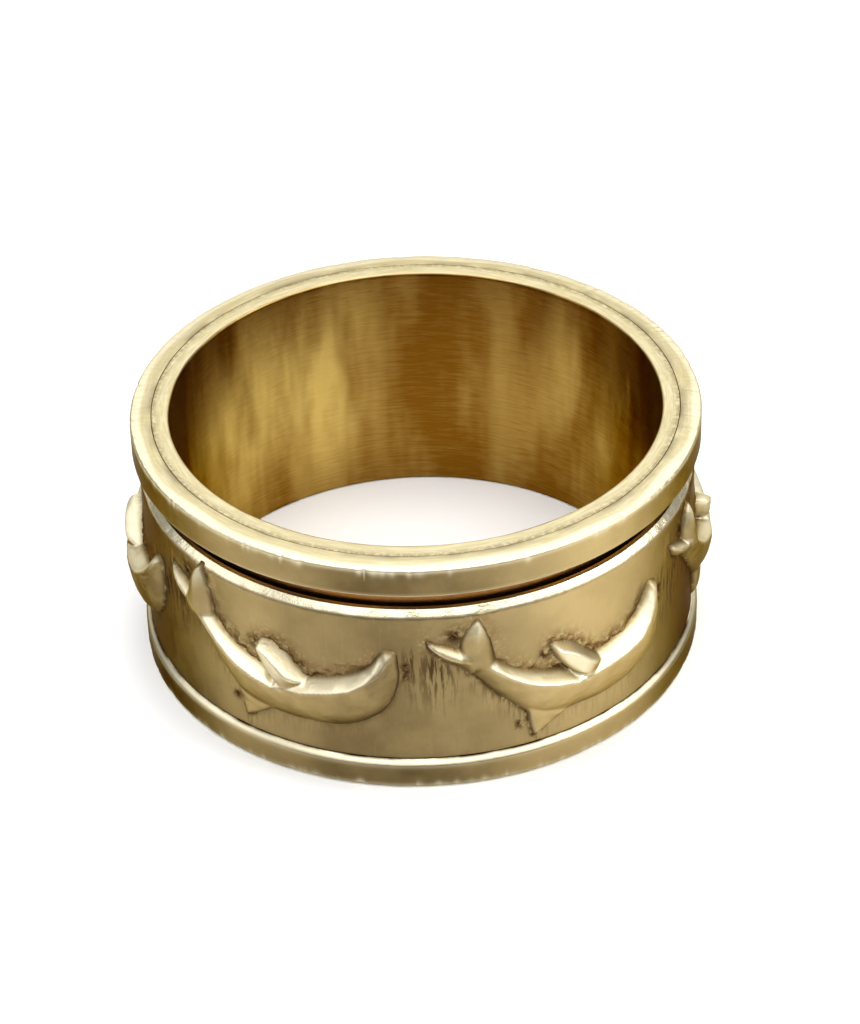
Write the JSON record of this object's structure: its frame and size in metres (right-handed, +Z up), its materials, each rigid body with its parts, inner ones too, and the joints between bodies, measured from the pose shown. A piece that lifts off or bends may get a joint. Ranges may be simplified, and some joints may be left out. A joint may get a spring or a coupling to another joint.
{
  "type": "spinner ring",
  "caption": "Wide brass finger ring with a loose outer band that spins between two rims, decorated with leaping dolphins in relief.",
  "frame": {"origin": "centre of the bore in the plane of the bottom face, on which the ring stands", "axes": "+Z up along the bore, the axis that the band turns round; -Y faces the viewer"},
  "size_m": [0.0234, 0.0228, 0.0102],
  "materials": {
    "sleeve_brass": "smooth worn bore, golden brown",
    "rim_brass": "filed and lightly polished, pale champagne brass",
    "band_brass": "satin with fine upright drag marks, tarnished beside the relief",
    "relief_brass": "cast and hand polished, dark seam at its foot"
  },
  "bodies": {
    "base": {"inner_sleeve": "sleeve_brass", "upper_rim": "rim_brass", "lower_rim": "rim_brass"},
    "spinner": {"spinner_band": "band_brass", "dolphin_1": "relief_brass", "dolphin_2": "relief_brass", "dolphin_3": "relief_brass", "dolphin_4": "relief_brass", "dolphin_5": "relief_brass", "dolphin_6": "relief_brass"}
  },
  "joints": [
    {"name": "spinner_spin", "type": "hinge", "parent": "base", "child": "spinner", "pos_m": [0, 0, 0.0045], "axis": [0, 0, 1], "continuous": true}
  ]
}
